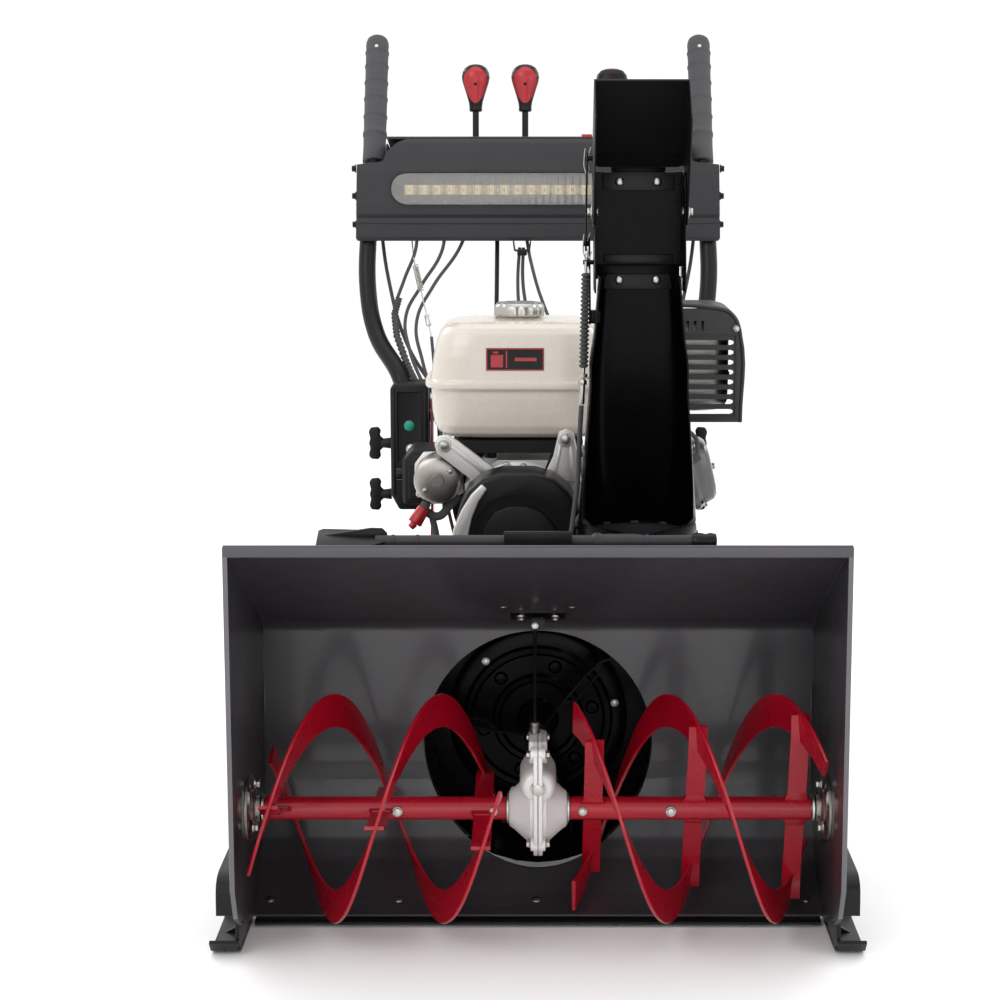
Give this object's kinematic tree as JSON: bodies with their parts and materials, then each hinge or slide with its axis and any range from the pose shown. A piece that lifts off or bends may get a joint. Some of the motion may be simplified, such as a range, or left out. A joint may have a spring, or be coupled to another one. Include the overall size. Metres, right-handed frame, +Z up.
{
  "type": "two stage snowblower",
  "caption": "Walk-behind two stage snowblower: ribbon augers in a wide housing, impeller drum, steerable tilting chute, engine, wheels and handlebars with a lit control panel.",
  "frame": {"origin": "on the ground, under the middle of the machine's bounding box", "axes": "+X to the right seen from in front of the auger housing, +Y from the auger housing back towards the handlebars, +Z up"},
  "size_m": [0.8368, 1.2242, 1.2049],
  "materials": {
    "grey_sheet": "dark grey metallic powder coat",
    "black_paint": "gloss black powder coat",
    "red_paint": "gloss red powder coat",
    "cast_aluminium": "die cast, as cast",
    "steel": "machined or zinc plated",
    "cream_paint": "gloss cream enamel",
    "black_plastic": "fine texture",
    "grey_plastic": "fine texture",
    "rubber": "soft moulded",
    "tyre": "moulded tread",
    "clear_lens": "clear ribbed moulding",
    "red_plastic": "gloss moulding",
    "engine_black": "heat resistant paint look"
  },
  "bodies": {
    "frame": {"auger_housing": "grey_sheet", "scraper_blade": "black_paint", "skid_shoe_left": "black_paint", "skid_shoe_right": "black_paint", "auger_bearing_left": "steel", "auger_bearing_right": "steel", "gearbox_left_half": "cast_aluminium", "gearbox_right_half": "cast_aluminium", "gearbox_stay": "black_paint", "impeller_drum": "black_paint", "auger_belt": "rubber", "belt_cover": "black_plastic", "chassis_frame": "red_paint", "bottom_cover": "black_paint", "axle_carrier": "steel", "engine_block": "cast_aluminium", "valve_cover": "grey_sheet", "fuel_tank": "cream_paint", "tank_bracket": "cast_aluminium", "muffler_guard": "engine_black", "muffler": "steel", "carburettor_cover": "black_plastic", "starter_motor": "steel", "recoil_housing": "black_plastic", "handle_tube_left": "black_paint", "handle_tube_right": "black_paint", "grip_left": "rubber", "grip_right": "rubber", "bracket_cover_left": "black_plastic", "bracket_cover_right": "black_plastic", "control_panel": "grey_plastic", "light_lens": "clear_lens", "tool_clip": "black_plastic"},
    "auger": {"auger_left": "red_paint", "auger_right": "red_paint", "auger_shaft": "steel"},
    "impeller": {"impeller": "black_paint", "impeller_shaft": "steel", "impeller_pulley": "steel"},
    "crankshaft": {"engine_pulley": "steel"},
    "wheel_left": {"tyre_left": "tyre", "wheel_rim_left": "grey_sheet"},
    "wheel_right": {"tyre_right": "tyre", "wheel_rim_right": "grey_sheet"},
    "chute": {"chute_lower": "black_paint"},
    "deflector": {"deflector_middle": "black_paint"},
    "hood": {"deflector_top": "black_paint"},
    "link": {"deflector_link": "steel"},
    "speed_lever": {"speed_lever": "black_plastic"},
    "deflector_lever": {"deflector_lever": "black_plastic"},
    "chute_lever": {"chute_lever": "black_plastic"},
    "clutch_left": {"clutch_lever_left": "black_plastic"},
    "clutch_right": {"clutch_lever_right": "black_plastic"},
    "light_switch": {"light_switch": "red_plastic"},
    "fuel_cap": {"fuel_cap": "steel"},
    "recoil_handle": {"recoil_handle": "rubber"},
    "wing_left": {"wing_knob_left": "black_plastic"},
    "wing_right": {"wing_knob_right": "black_plastic"},
    "clean_out_tool": {"clean_out_tool": "black_plastic"}
  },
  "joints": [
    {"name": "auger_spin", "type": "hinge", "parent": "frame", "child": "auger", "pos_m": [0, -0.44913, 0.17], "axis": [1, 0, 0], "continuous": true},
    {"name": "impeller_spin", "type": "hinge", "parent": "frame", "child": "impeller", "pos_m": [0, -0.20913, 0.208], "axis": [0, 1, 0], "continuous": true},
    {"name": "crank_spin", "type": "hinge", "parent": "frame", "child": "crankshaft", "pos_m": [-0.027, -0.02913, 0.472], "axis": [0, 1, 0], "continuous": true},
    {"name": "left_wheel_spin", "type": "hinge", "parent": "frame", "child": "wheel_left", "pos_m": [-0.245, 0.14087, 0.2], "axis": [1, 0, 0], "continuous": true},
    {"name": "right_wheel_spin", "type": "hinge", "parent": "frame", "child": "wheel_right", "pos_m": [0.245, 0.14087, 0.2], "axis": [1, 0, 0], "continuous": true},
    {"name": "chute_turn", "type": "hinge", "parent": "frame", "child": "chute", "pos_m": [0.138, -0.18813, 0.48], "axis": [0, 0, 1], "range_deg": [-100, 100]},
    {"name": "deflector_tilt", "type": "hinge", "parent": "chute", "child": "deflector", "pos_m": [0.138, -0.13763, 0.848], "axis": [1, 0, 0], "range_deg": [0, 20]},
    {"name": "hood_tilt", "type": "hinge", "parent": "deflector", "child": "hood", "pos_m": [0.138, -0.14463, 0.987], "axis": [1, 0, 0], "range_deg": [0, 22]},
    {"name": "link_swing", "type": "hinge", "parent": "chute", "child": "link", "pos_m": [0.0665, -0.12513, 0.884], "axis": [1, 0, 0], "range_deg": [0, 28]},
    {"name": "speed_select", "type": "hinge", "parent": "frame", "child": "speed_lever", "pos_m": [-0.102, 0.45287, 0.93], "axis": [1, 0, 0], "range_deg": [-12, 13]},
    {"name": "deflector_select", "type": "hinge", "parent": "frame", "child": "deflector_lever", "pos_m": [-0.021, 0.45287, 0.93], "axis": [1, 0, 0], "range_deg": [-12, 16]},
    {"name": "chute_select", "type": "hinge", "parent": "frame", "child": "chute_lever", "pos_m": [0.121, 0.45287, 0.93], "axis": [1, 0, 0], "range_deg": [-14, 14]},
    {"name": "drive_clutch", "type": "hinge", "parent": "frame", "child": "clutch_left", "pos_m": [-0.27, 0.50287, 0.968], "axis": [1, 0, 0], "range_deg": [0, 6], "stiffness_Nm_per_rad": 6, "springref_deg": -8.59},
    {"name": "auger_clutch", "type": "hinge", "parent": "frame", "child": "clutch_right", "pos_m": [0.27, 0.50287, 0.968], "axis": [1, 0, 0], "range_deg": [0, 6], "stiffness_Nm_per_rad": 6, "springref_deg": -8.59},
    {"name": "switch_rock", "type": "hinge", "parent": "frame", "child": "light_switch", "pos_m": [0.079, 0.41987, 1.022], "axis": [1, 0, 0], "range_deg": [0, 6]},
    {"name": "cap_turn", "type": "hinge", "parent": "frame", "child": "fuel_cap", "pos_m": [-0.028, 0.11087, 0.77], "axis": [0, 0, 1], "range_deg": [0, 120]},
    {"name": "recoil_pull", "type": "slide", "parent": "frame", "child": "recoil_handle", "axis": [0, 1, 0], "range_m": [0, 0.3], "stiffness_N_per_m": 20, "springref_m": -0.1},
    {"name": "left_knob_turn", "type": "hinge", "parent": "frame", "child": "wing_left", "pos_m": [-0.25, 0.27487, 0.548], "axis": [1, 0, 0], "continuous": true},
    {"name": "right_knob_turn", "type": "hinge", "parent": "frame", "child": "wing_right", "pos_m": [0.25, 0.27487, 0.548], "axis": [1, 0, 0], "continuous": true},
    {"name": "tool_lift", "type": "slide", "parent": "frame", "child": "clean_out_tool", "axis": [0, 0, 1], "range_m": [0, 0.2]}
  ],
  "couplings": [
    {"joint": "impeller_spin", "follows": "auger_spin", "ratio": 10},
    {"joint": "crank_spin", "follows": "auger_spin", "ratio": 26.8},
    {"joint": "hood_tilt", "follows": "deflector_tilt", "ratio": 1.08},
    {"joint": "link_swing", "follows": "deflector_tilt", "ratio": 1.38},
    {"joint": "deflector_select", "follows": "deflector_tilt", "ratio": 0.6},
    {"joint": "chute_select", "follows": "chute_turn", "ratio": 0.14}
  ]
}
